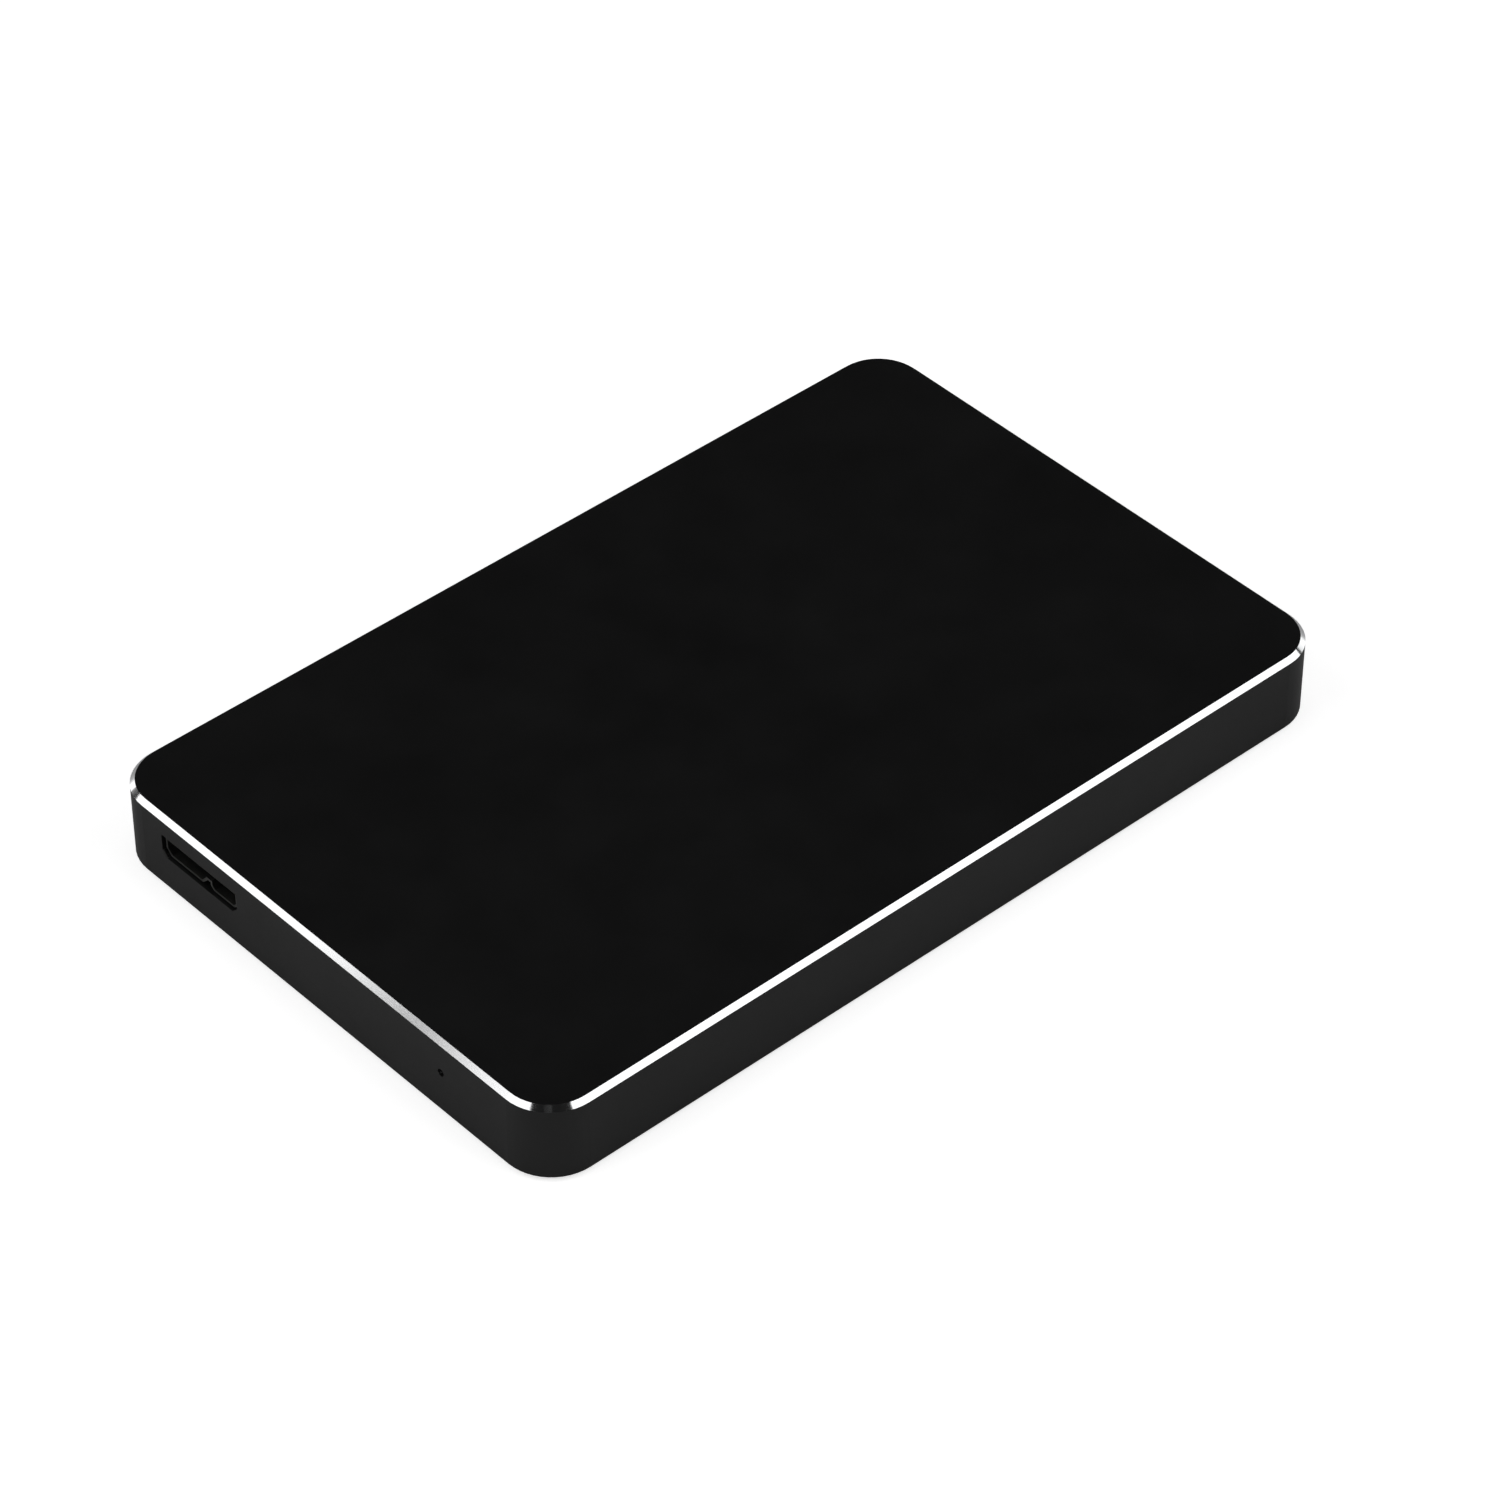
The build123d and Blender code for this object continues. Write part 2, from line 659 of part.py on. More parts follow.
def sata_socket():
    """The bridge board's socket, with slots for both blades and a channel for each spring."""
    sides = (SATA_X - SOCKET_HALF_W, SATA_X + SOCKET_HALF_W)
    body = block(*sides, SOCKET_REAR, NOSE_TIP, SATA_Z - 2.15, BOARD_Z0)
    body = chamfer(body.faces().sort_by(Axis.Y)[-1].edges(), 0.3)
    body -= sata_blades(0.13, SLOT_BOTTOM, NOSE_TIP + OVERCUT)
    top = SATA_Z - BLADE_T / 2
    for x in sata_pin_xs():
        body -= block(x - 0.36, x + 0.36, SLOT_BOTTOM, NOSE_TIP - 0.4, top - 0.9, top)
    return body - sata_socket_contacts()


# ---- The 2.5 inch drive ----
def lid_screw_spots():
    x = DRIVE_HALF_W - LID_SCREW_EDGE
    ys = (DRIVE_FRONT + LID_SCREW_EDGE, DRIVE_REAR - LID_SCREW_EDGE)
    return [(side * x, y) for side in (-1, 1) for y in ys]


def ssd_tray():
    """The drive's tray before its holes are cut."""
    body = slab(DRIVE_HALF_W, DRIVE_HALF_L, DRIVE_CORNER, DRIVE_Z0, DRIVE_LID_Z, y=DRIVE_Y)
    body -= slab(
        DRIVE_HALF_W - DRIVE_WALL,
        DRIVE_HALF_L - DRIVE_WALL,
        DRIVE_CORNER - DRIVE_WALL,
        DRIVE_FLOOR_Z,
        DRIVE_LID_Z + OVERCUT,
        y=DRIVE_Y,
    )
    for x, y in lid_screw_spots():
        body += rod(x, y, DRIVE_FLOOR_Z, DRIVE_LID_Z, 2.2)
    for y in MOUNT_YS:
        edge = DRIVE_HALF_W - 0.5
        body += both_sides(block(28.2, edge, y - 3.2, y + 3.2, DRIVE_FLOOR_Z, DRIVE_Z0 + 5.2))
    for x, y in CORE_SPOTS:
        body += rod(x, y, DRIVE_FLOOR_Z, CORE_Z0, 2.0)
    return body


def ssd_base():
    """The tray with its plug gap, screw holes and the standard mounting holes."""
    body = ssd_tray()
    half_gap = SOCKET_HALF_W + 0.6
    body -= block(
        SATA_X - half_gap,
        SATA_X + half_gap,
        DRIVE_FRONT - OVERCUT,
        DRIVE_FRONT + DRIVE_WALL + 0.5,
        DRIVE_FLOOR_Z,
        DRIVE_LID_Z + OVERCUT,
    )
    thread_r = CORE_SCREW[0]
    for x, y in lid_screw_spots():
        body -= rod(x, y, DRIVE_FLOOR_Z + 0.6, DRIVE_LID_Z + OVERCUT, thread_r)
    for x, y in CORE_SPOTS:
        body -= rod(x, y, DRIVE_Z0 + 0.5, CORE_Z0 + OVERCUT, thread_r)
    side_hole = Rot(0, 90, 0) * Cylinder(MOUNT_CORE_R, 4.4)
    for y in MOUNT_YS:
        body -= both_sides(rod(MOUNT_X, y, DRIVE_Z0 - OVERCUT, DRIVE_Z0 + 2.4, MOUNT_CORE_R))
        body -= both_sides(Pos(DRIVE_HALF_W, y, DRIVE_Z0 + 3.0) * side_hole)
    return body


def ssd_lid():
    body = slab(DRIVE_HALF_W, DRIVE_HALF_L, DRIVE_CORNER, DRIVE_LID_Z, DRIVE_Z1, y=DRIVE_Y)
    body = fillet(top_edges(body), 0.3)
    for x, y in lid_screw_spots():
        body -= rod(x, y, DRIVE_LID_Z - OVERCUT, DRIVE_Z1 + OVERCUT, 1.1)
        body -= cone(x, y, DRIVE_Z1 - 0.8, DRIVE_Z1, 1.1, 1.9)
    return body


def ssd_lid_screws():
    """Four countersunk screws, pointing down."""
    shank_r, head_r = CORE_SCREW
    neck = DRIVE_Z1 - (head_r - shank_r)
    made = []
    for x, y in lid_screw_spots():
        body = cone(x, y, neck, DRIVE_Z1, shank_r, head_r)
        body += rod(x, y, DRIVE_FLOOR_Z + 0.8, neck, shank_r)
        made.append(body - cross_recess(x, y, DRIVE_Z1, head_r))
    return together(made)


def ssd_board():
    body = block(-CORE_HALF_W, CORE_HALF_W, CORE_FRONT, CORE_REAR, CORE_Z0, CORE_Z1)
    body = fillet(body.edges().filter_by(Axis.Z), 1.0)
    for x, y in CORE_SPOTS:
        body -= rod(x, y, CORE_Z0 - OVERCUT, CORE_Z1 + OVERCUT, CORE_SCREW[0] + 0.25)
    return body


def ssd_board_screws():
    return pan_head_screws(CORE_SPOTS, CORE_Z1, DRIVE_Z0 + 0.8, CORE_SCREW, 0.8)


def flash_package(x):
    body = standing_part(x, FLASH_Y, width=12, length=18, height=CHIP_HIGH, corner=0.2)
    return with_pin_mark(body)


def ssd_controller():
    body = standing_part(
        CONTROLLER_X, CONTROLLER_Y, width=13, length=13, height=CHIP_HIGH, corner=0.2
    )
    return with_pin_mark(body)


def ssd_memory_chip():
    return with_pin_mark(standing_part(x=-19.4, y=-23.4, width=7.5, length=12, height=1))


def ssd_power_chip():
    return with_pin_mark(standing_part(x=12, y=-22, width=4, length=4, height=0.8))


def ssd_inductors():
    return together(
        standing_part(17.4, y, width=2.5, length=2, height=1.2, corner=0.3)
        for y in (-19.4, -23.0, -26.6)
    )


def ssd_capacitors():
    spots = [(x, -29.2) for x in (7.0, 9.0, 11.0, 13.0)]
    spots += [(21.6, y) for y in (-18.6, -20.6, -22.6, -24.6, -26.6)]
    spots += [(x, 6.4) for x in (-24.0, -21.0, -18.0, 18.0, 21.0, 24.0)]
    return together(
        standing_part(x, y, width=1.25, length=0.8, height=0.8) for x, y in spots
    )


def controller_pad():
    return brick(CONTROLLER_X, CONTROLLER_Y, 12, 12, CHIP_TOP, DRIVE_LID_Z)


def flash_pad():
    width = FLASH_XS[-1] - FLASH_XS[0] + 11
    return brick(0, FLASH_Y, width, 16, CHIP_TOP, DRIVE_LID_Z)


def all_nodes():
    nodes = {
        "top_shell": top_shell(),
        "bottom_cover": bottom_cover(),
        "inner_frame": inner_frame(),
        "thread_inserts": thread_inserts(),
        "cover_screws": cover_screws(),
        "top_foam_pad": foam_pad(28.0, 42.0, DRIVE_Z1, ROOF_Z),
        "bottom_foam_pad": foam_pad(26.0, 38.0, DECK_Z, DRIVE_Z0),
        "bridge_board": bridge_board(),
        "bridge_chip": bridge_chip(),
        "firmware_chip": firmware_chip(),
        "board_crystal": board_crystal(),
        "board_inductor": board_inductor(),
        "board_regulator": board_regulator(),
        "board_capacitors": board_capacitors(),
        "board_resistors": board_resistors(),
        "board_screws": board_screws(),
        "usb_shell": usb_shell(),
        "usb_insulator": usb_insulator(),
        "usb_contacts": usb_contacts(),
        "activity_led": activity_led(),
        "light_guide": light_guide(),
        "sata_socket": sata_socket(),
        "sata_socket_contacts": sata_socket_contacts(),
        "ssd_base": ssd_base(),
        "ssd_lid": ssd_lid(),
        "ssd_lid_screws": ssd_lid_screws(),
        "ssd_board": ssd_board(),
        "ssd_board_screws": ssd_board_screws(),
        "ssd_sata_plug": ssd_sata_plug(),
        "ssd_plug_contacts": ssd_plug_contacts(),
        "ssd_controller": ssd_controller(),
        "ssd_memory_chip": ssd_memory_chip(),
        "ssd_power_chip": ssd_power_chip(),
        "ssd_inductors": ssd_inductors(),
        "ssd_capacitors": ssd_capacitors(),
        "controller_thermal_pad": controller_pad(),
        "flash_thermal_pad": flash_pad(),
    }
    for name, (x, y) in foot_spots().items():
        nodes[name] = rubber_foot(x, y)
    for number, x in enumerate(FLASH_XS, start=1):
        nodes[f"flash_package_{number}"] = flash_package(x)
    return nodes


os.makedirs("parts", exist_ok=True)
for name, shape in all_nodes().items():
    export_step(shape, f"parts/{name}.step")
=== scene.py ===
import json
import math

import bpy
from mathutils import Matrix, Vector


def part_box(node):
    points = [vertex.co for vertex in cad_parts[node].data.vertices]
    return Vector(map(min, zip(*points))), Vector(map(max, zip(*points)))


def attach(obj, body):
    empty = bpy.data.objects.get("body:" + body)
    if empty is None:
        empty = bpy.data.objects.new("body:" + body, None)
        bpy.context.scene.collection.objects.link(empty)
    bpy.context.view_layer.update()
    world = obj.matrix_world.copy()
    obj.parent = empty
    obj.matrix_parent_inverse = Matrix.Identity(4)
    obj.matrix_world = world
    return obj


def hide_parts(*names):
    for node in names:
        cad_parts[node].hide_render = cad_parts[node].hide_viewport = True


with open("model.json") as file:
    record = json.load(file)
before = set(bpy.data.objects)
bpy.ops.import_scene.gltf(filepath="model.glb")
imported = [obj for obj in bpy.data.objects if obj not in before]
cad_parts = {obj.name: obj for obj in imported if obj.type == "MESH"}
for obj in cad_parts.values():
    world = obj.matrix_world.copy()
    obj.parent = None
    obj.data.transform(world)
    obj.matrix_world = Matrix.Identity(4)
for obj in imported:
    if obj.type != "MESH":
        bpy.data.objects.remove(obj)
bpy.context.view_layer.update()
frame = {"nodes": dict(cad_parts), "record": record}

MM = 0.001
nodes = frame["nodes"]
scene = bpy.context.scene

# ---- Camera: a long lens, seen from in front, to the right and above ----
VIEW_AZIMUTH = math.radians(47.87)
VIEW_ELEVATION = math.radians(41.17)
VIEW_DISTANCE = 656.6 * MM
VIEW_RIGHT = 2.75 * MM
VIEW_UP = -5.3 * MM
LENS_MM = 137.45
SENSOR_MM = 36.0
CLIP_NEAR = 0.01
CLIP_FAR = 100.0

# ---- The case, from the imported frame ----
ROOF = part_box("top_shell")[1][2]
# The upward part of a face's normal, anywhere on the chamfer.
CHAMFER_TILT = (0.5, 0.9)

# ---- The studio. Glow and radiance are told against white paper in full light, which is 1.
# ---- Lengths are in metres, and angles in degrees.
WHITE = (1, 1, 1, 1)
HORIZON_GLOW = 0.60
ROOM_GLOW = 0.012
# The upward part of a direction, where the horizon's glow has faded to the room's.
ROOM_FADE = 0.30
FLOOR_REACH = 12.0
# The floor to the camera and to bounced light: its tone, and its glow from near to far.
FLOOR_SEEN = {"tone": 0.95, "glow": (0.7, 1.0), "between": (0.3, 1.2)}
FLOOR_BOUNCED = {"tone": 0.68, "glow": (0.0, HORIZON_GLOW), "between": (0.10, 0.45)}

SIDE_ELEVATION = 38
SIDE_HEIGHT = 0.9
PORT_RADIANCE = 1.23
RIGHT_RADIANCE = 1.36
BACKDROP_ELEVATION = 7
BACKDROP_SIZE = (0.64, 0.28)
BACKDROP_RADIANCE = 0.85


# ======================================================================
# Node graphs
# ======================================================================
def add_node(tree, kind, **settings):
    made = tree.nodes.new(kind)
    for key, value in settings.items():
        setattr(made, key, value)
    return made


def add_ramp(tree, value, low, high, from_low, from_high, **settings):
    """Maps a value from one range onto another, and holds it inside the new one."""
    made = add_node(tree, "ShaderNodeMapRange", **settings)
    tree.links.new(value, made.inputs["Value"])
    made.inputs["From Min"].default_value = from_low
    made.inputs["From Max"].default_value = from_high
    made.inputs["To Min"].default_value = low
    made.inputs["To Max"].default_value = high
    return made.outputs["Result"]


class Graph:
    """A new material's node tree, with short calls for the nodes that this scene uses."""

    def __init__(self, name):
        self.material = bpy.data.materials.new(name)
        self.material.use_nodes = True
        self.tree = self.material.node_tree
        self.tree.nodes.clear()
        self.shader = self.node("ShaderNodeBsdfPrincipled")
        output = self.node("ShaderNodeOutputMaterial")
        self.link(self.shader.outputs["BSDF"], output.inputs["Surface"])
        place = self.node("ShaderNodeTexCoord").outputs["Object"]
        self.place_mm = self.scaled(place, 1 / MM)

    def node(self, kind, **settings):
        return add_node(self.tree, kind, **settings)

    def link(self, source, target):
        self.tree.links.new(source, target)

    def feed(self, socket, value):
        """Links an output to a socket, or sets the socket to a plain value."""
        if isinstance(value, bpy.types.NodeSocket):
            self.link(value, socket)
        else:
            socket.default_value = value

    def scaled(self, vector, factor):
        made = self.node("ShaderNodeVectorMath", operation="SCALE")
        self.link(vector, made.inputs[0])
        made.inputs["Scale"].default_value = factor
        return made.outputs["Vector"]

    def stretched(self, vector, factors):
        """A vector times one factor for each axis."""
        made = self.node("ShaderNodeVectorMath", operation="MULTIPLY")
        self.link(vector, made.inputs[0])
        made.inputs[1].default_value = factors
        return made.outputs["Vector"]

    def math(self, operation, a, b=0.0, clamp=False):
        made = self.node("ShaderNodeMath", operation=operation, use_clamp=clamp)
        self.feed(made.inputs[0], a)
        self.feed(made.inputs[1], b)
        return made.outputs[0]

    def axes(self, vector):
        """A vector's three parts, or a colour's."""
        made = self.node("ShaderNodeSeparateXYZ")
        self.link(vector, made.inputs[0])
        return made.outputs

    def turned(self, degrees):
        """The place in millimetres, turned about the upright axis."""
        made = self.node("ShaderNodeVectorRotate", rotation_type="Z_AXIS")
        self.link(self.place_mm, made.inputs["Vector"])
        made.inputs["Angle"].default_value = math.radians(degrees)
        return made.outputs["Vector"]

    def noise(self, per_mm, detail=2.0, roughness=0.5, squeeze=(1, 1, 1)):
        """Noise with so many features to a millimetre, times squeeze along each axis."""
        made = self.node("ShaderNodeTexNoise")
        self.link(self.stretched(self.place_mm, squeeze), made.inputs["Vector"])
        made.inputs["Scale"].default_value = per_mm
        made.inputs["Detail"].default_value = detail
        made.inputs["Roughness"].default_value = roughness
        return made.outputs["Fac"]

    def cells(self, per_mm, output="Distance", place=None, metric="EUCLIDEAN"):
        """A scatter of points: the distance to the nearest one, or that one's own colour."""
        made = self.node("ShaderNodeTexVoronoi", distance=metric)
        self.link(place or self.place_mm, made.inputs["Vector"])
        made.inputs["Scale"].default_value = per_mm
        return made.outputs[output]

    def spread(self, pattern, low, high, from_low=0.3, from_high=0.7):
        """A pattern's usual range, or the range given, mapped onto low to high."""
        return add_ramp(self.tree, pattern, low, high, from_low, from_high)

    def level(self):
        """1 on faces that lie flat, 0 on upright ones."""
        facing = self.node("ShaderNodeNewGeometry").outputs["True Normal"]
        upright = self.math("ABSOLUTE", self.axes(facing)[2])
        return self.spread(upright, 0.0, 1.0, from_low=0.8, from_high=0.95)

    def scratches(self, degrees, long_mm, apart_mm, share):
        """1 along a share of the fine, tapered scratches that run one way on the flat faces."""
        place = self.stretched(self.turned(degrees), (1 / long_mm, 1 / apart_mm, 1))
        distance = self.cells(1.0, place=place)
        line = self.spread(distance, 1.0, 0.0, from_low=0.02, from_high=0.16)
        pick = self.axes(self.cells(1.0, output="Color", place=place))[0]
        kept = self.spread(pick, 0.0, 1.0, from_low=1.0 - share, from_high=1.02 - share)
        return self.math("MULTIPLY", self.math("MULTIPLY", line, kept), self.level())

    def colours(self, pattern, dark, light):
        """Blends two colours by a 0-to-1 pattern."""
        made = self.node("ShaderNodeMix", data_type="RGBA")
        self.feed(made.inputs["Factor"], pattern)
        self.feed(made.inputs["A"], rgba(dark))
        self.feed(made.inputs["B"], rgba(light))
        return made.outputs["Result"]

    def bump(self, height, depth_mm, strength, under=None):
        """A normal with a relief on it, on top of another relief where one is given."""
        made = self.node("ShaderNodeBump")
        made.inputs["Strength"].default_value = strength
        made.inputs["Distance"].default_value = depth_mm * MM
        self.feed(made.inputs["Height"], height)
        if under is not None:
            self.link(under, made.inputs["Normal"])
        return made.outputs["Normal"]

    def finish(self, **sockets):
        """Fills the shader's sockets; underscores stand for spaces."""
        for key, value in sockets.items():
            self.feed(self.shader.inputs[key.replace("_", " ")], value)
        return self.material


def rgba(colour):
    if isinstance(colour, bpy.types.NodeSocket):
        return colour
    return (*colour, 1.0)


def lighter(colour, factor):
    return tuple(min(1.0, c * factor) for c in colour)


# ======================================================================
# Materials
# ======================================================================
def anodised():
    """Black anodised aluminium: a bead-blasted grain, handling marks and a few fine scratches."""
    g = Graph("anodised_case")
    cloud = g.noise(per_mm=0.045, detail=3)
    smudge = g.noise(per_mm=0.10, detail=4, roughness=0.6)
    grain = g.noise(per_mm=5.0, detail=3, roughness=0.6)
    fine = g.noise(per_mm=14.0, detail=1)
    long_marks = g.scratches(24, long_mm=40, apart_mm=0.6, share=0.02)
    short_marks = g.scratches(-51, long_mm=16, apart_mm=0.5, share=0.02)
    marks = g.math("ADD", long_marks, short_marks, clamp=True)
    dark = (0.0043, 0.0043, 0.0045)
    light = (0.0060, 0.0060, 0.0062)
    colour = g.colours(g.spread(cloud, 0.0, 1.0), dark, light)
    colour = g.colours(g.math("MULTIPLY", marks, 0.3), colour, (0.02, 0.02, 0.02))
    rough = g.math("ADD", g.spread(smudge, 0.38, 0.45), g.spread(grain, -0.03, 0.03))
    rough = g.math("SUBTRACT", rough, g.math("MULTIPLY", marks, 0.08))
    normal = g.bump(grain, depth_mm=0.010, strength=0.5)
    normal = g.bump(fine, depth_mm=0.005, strength=0.5, under=normal)
    normal = g.bump(marks, depth_mm=-0.002, strength=0.4, under=normal)
    return g.finish(
        Base_Color=colour, Roughness=rough, Normal=normal, IOR=1.45, Specular_IOR_Level=0.5
    )


def bright_cut():
    """The diamond-cut chamfer: bare aluminium with fine tool lines along the cut."""
    g = Graph("bright_cut_edge")
    lines = g.noise(per_mm=14.0, detail=2, squeeze=(0.15, 0.15, 1.0))
    tone = g.spread(g.noise(per_mm=0.12, detail=2), 0.0, 1.0)
    colour = g.colours(tone, (0.87, 0.88, 0.89), (0.93, 0.93, 0.94))
    normal = g.bump(lines, depth_mm=0.0012, strength=0.35)
    return g.finish(Base_Color=colour, Metallic=1.0, Roughness=0.10, Normal=normal)


def moulded(name, colour, grain_mm, roughness):
    """Injection-moulded plastic, or another fine-grained solid, with a matt texture."""
    g = Graph(name)
    cloud = g.noise(per_mm=0.08, detail=3)
    grain = g.noise(per_mm=1 / grain_mm, detail=3, roughness=0.6)
    shade = g.colours(g.spread(cloud, 0.0, 1.0), colour, lighter(colour, 1.35))
    rough = g.spread(grain, roughness - 0.06, roughness + 0.06)
    normal = g.bump(grain, depth_mm=0.02, strength=0.7)
    return g.finish(
        Base_Color=shade, Roughness=rough, Normal=normal, Specular_IOR_Level=0.35
    )


def plain_metal(name, colour, roughness, squeeze=(1, 1, 1), depth_mm=0.003):
    """Machined or plated metal. Its grain runs along the axes that squeeze makes small."""
    g = Graph(name)
    grain = g.noise(per_mm=6.0, detail=3, squeeze=squeeze)
    tone = g.spread(g.noise(per_mm=0.5), 0.0, 1.0)
    shade = g.colours(tone, lighter(colour, 0.85), colour)
    rough = g.spread(grain, roughness - 0.07, roughness + 0.07)
    normal = g.bump(grain, depth_mm=depth_mm, strength=0.5)
    return g.finish(Base_Color=shade, Metallic=1.0, Roughness=rough, Normal=normal)


def circuit_board(name, mask, laminate):
    """Solder mask over copper tracks, gold-plated vias, and a bare laminate edge. Each via's hole
    is painted near-black: painted shade.
    """
    g = Graph(name)
    x, y, _ = g.axes(g.place_mm)
    patch = g.cells(per_mm=0.22, output="Color", metric="CHEBYCHEV")
    along_x = g.spread(g.axes(patch)[0], 0.0, 1.0, from_low=0.49, from_high=0.51)
    along_y = g.math("SUBTRACT", 1.0, along_x)
    across = g.math("ADD", g.math("MULTIPLY", y, along_x), g.math("MULTIPLY", x, along_y))
    wave = g.math("PINGPONG", across, 0.3)
    track = g.spread(wave, 0.0, 1.0, from_low=0.13, from_high=0.17)
    drilled = g.cells(per_mm=0.28)
    via = g.spread(drilled, 1.0, 0.0, from_low=0.060, from_high=0.075)
    hole_shade = g.spread(drilled, 1.0, 0.0, from_low=0.025, from_high=0.035)
    level = g.level()
    shade = g.colours(track, mask, lighter(mask, 2.2))
    shade = g.colours(via, shade, (0.75, 0.55, 0.25))
    # Painted shade: the hole in each via is coloured near-black.
    shade = g.colours(hole_shade, shade, (0.01, 0.01, 0.01))
    shade = g.colours(level, laminate, shade)
    plated = g.math("MULTIPLY", g.math("SUBTRACT", via, hole_shade, clamp=True), level)
    weave = g.noise(per_mm=2.5, squeeze=(1, 0.15, 1))
    height = g.math("ADD", g.math("MULTIPLY", track, 0.8), g.math("MULTIPLY", weave, 0.2))
    rough = g.spread(weave, 0.22, 0.38)
    normal = g.bump(height, depth_mm=0.03, strength=0.6)
    return g.finish(Base_Color=shade, Metallic=plated, Roughness=rough, Normal=normal)


def foam():
    """Closed-cell foam: small round cells with thin walls, the hollows painted darker than the
    walls as painted shade.
    """
    g = Graph("foam")
    wall_and_hollow_shade = g.spread(g.cells(per_mm=2.2), 0.0, 1.0, from_low=0.15, from_high=0.6)
    # Painted shade: the cell hollows are coloured darker than the walls between them.
    shade = g.colours(wall_and_hollow_shade, (0.018, 0.018, 0.02), (0.05, 0.05, 0.055))
    rough = g.spread(g.noise(per_mm=1.5), 0.82, 0.95)
    normal = g.bump(wall_and_hollow_shade, depth_mm=0.12, strength=0.8)
    return g.finish(Base_Color=shade, Roughness=rough, Normal=normal)


def thermal_pad():
    """Silicone filled with ceramic powder: waxy, with pale grains in it."""
    g = Graph("thermal_pad")
    speck = g.spread(g.cells(per_mm=3.0), 1.0, 0.0, from_low=0.12, from_high=0.22)
    shade = g.colours(speck, (0.30, 0.33, 0.40), (0.52, 0.54, 0.58))
    normal = g.bump(g.noise(per_mm=0.9, detail=3), depth_mm=0.06, strength=0.6)
    rough = g.spread(g.noise(per_mm=0.4), 0.55, 0.72)
    return g.finish(Base_Color=shade, Roughness=rough, Normal=normal)


def rubber():
    """Soft black rubber: a fine sandy skin with dust held in it."""
    g = Graph("foot_rubber")
    sand = g.noise(per_mm=4.0, detail=3, roughness=0.65)
    patches = g.noise(per_mm=1.4, detail=4, roughness=0.7)
    dust = g.spread(patches, 0.0, 0.5, from_low=0.55, from_high=0.75)
    shade = g.colours(dust, (0.016, 0.016, 0.016), (0.06, 0.058, 0.055))
    rough = g.spread(sand, 0.72, 0.9)
    normal = g.bump(sand, depth_mm=0.03, strength=0.7)
    return g.finish(
        Base_Color=shade, Roughness=rough, Normal=normal, Specular_IOR_Level=0.3
    )


def cover_plastic():
    """The underside: a spark-eroded texture, polished a little where it slides on desks."""
    g = Graph("cover_plastic")
    grain = g.noise(per_mm=3.6, detail=3, roughness=0.65)
    pits = g.cells(per_mm=5.0)
    worn_patches = g.noise(per_mm=0.05, detail=4, roughness=0.6)
    worn = g.spread(worn_patches, 0.0, 1.0, from_low=0.45, from_high=0.65)
    rub = g.math(
        "ADD",
        g.scratches(8, long_mm=30, apart_mm=0.5, share=0.06),
        g.scratches(-17, long_mm=14, apart_mm=0.4, share=0.06),
    )
    rub = g.math("ADD", rub, g.scratches(71, long_mm=22, apart_mm=0.6, share=0.03), clamp=True)
    shade = g.colours(worn, (0.009, 0.009, 0.0095), (0.014, 0.014, 0.0145))
    shade = g.colours(g.math("MULTIPLY", rub, 0.4), shade, (0.05, 0.05, 0.05))
    rough = g.math("SUBTRACT", g.spread(grain, 0.50, 0.64), g.math("MULTIPLY", worn, 0.10))
    relief = g.math("ADD", grain, g.math("MULTIPLY", pits, 0.4))
    normal = g.bump(relief, depth_mm=0.03, strength=0.7)
    return g.finish(
        Base_Color=shade, Roughness=rough, Normal=normal, Specular_IOR_Level=0.3
    )


def light_pipe():
    """Acrylic coloured near-black, so that the pinhole over it reads dark; polished on its long
    faces.
    """
    g = Graph("clear_guide")
    shade = g.colours(g.noise(per_mm=0.8), (0.012, 0.012, 0.013), (0.03, 0.03, 0.032))
    rough = g.spread(g.noise(per_mm=3.0), 0.12, 0.25)
    normal = g.bump(g.noise(per_mm=1.2), depth_mm=0.01, strength=0.5)
    return g.finish(Base_Color=shade, Roughness=rough, Normal=normal)


# Slot: colour, grain in millimetres, roughness.
MOULDED = {
    "frame_plastic": ((0.03, 0.03, 0.032), 0.3, 0.5),
    "chip_epoxy": ((0.02, 0.02, 0.021), 0.12, 0.6),
    "ferrite": ((0.06, 0.06, 0.065), 0.15, 0.6),
    "capacitor_body": ((0.4, 0.28, 0.18), 0.15, 0.45),
    "resistor_body": ((0.02, 0.02, 0.025), 0.15, 0.35),
    "port_insulator": ((0.035, 0.035, 0.034), 0.15, 0.5),
    "lamp_body": ((0.75, 0.75, 0.68), 0.2, 0.3),
    "socket_plastic": ((0.015, 0.015, 0.016), 0.2, 0.45),
}

# Slot: colour, roughness, and where it isn't the usual one, the grain's squeeze and depth in mm.
PLAIN_METALS = {
    "brass": ((0.72, 0.52, 0.25), 0.3, (0.1, 0.1, 1), 0.001),
    "screw_steel": ((0.25, 0.25, 0.26), 0.35),
    "crystal_can": ((0.7, 0.69, 0.66), 0.3, (1, 1, 1), 0.0006),
    "port_shell": ((0.13, 0.13, 0.125), 0.4, (1, 0.1, 1)),
    "contact_gold": ((0.83, 0.6, 0.25), 0.25, (1, 0.1, 1), 0.0006),
    "drive_case": ((0.55, 0.56, 0.57), 0.4),
}

# Slot: solder mask, laminate.
CIRCUIT_BOARDS = {
    "bridge_mask": ((0.006, 0.05, 0.025), (0.35, 0.38, 0.2)),
    "drive_mask": ((0.006, 0.025, 0.07), (0.35, 0.38, 0.2)),
}


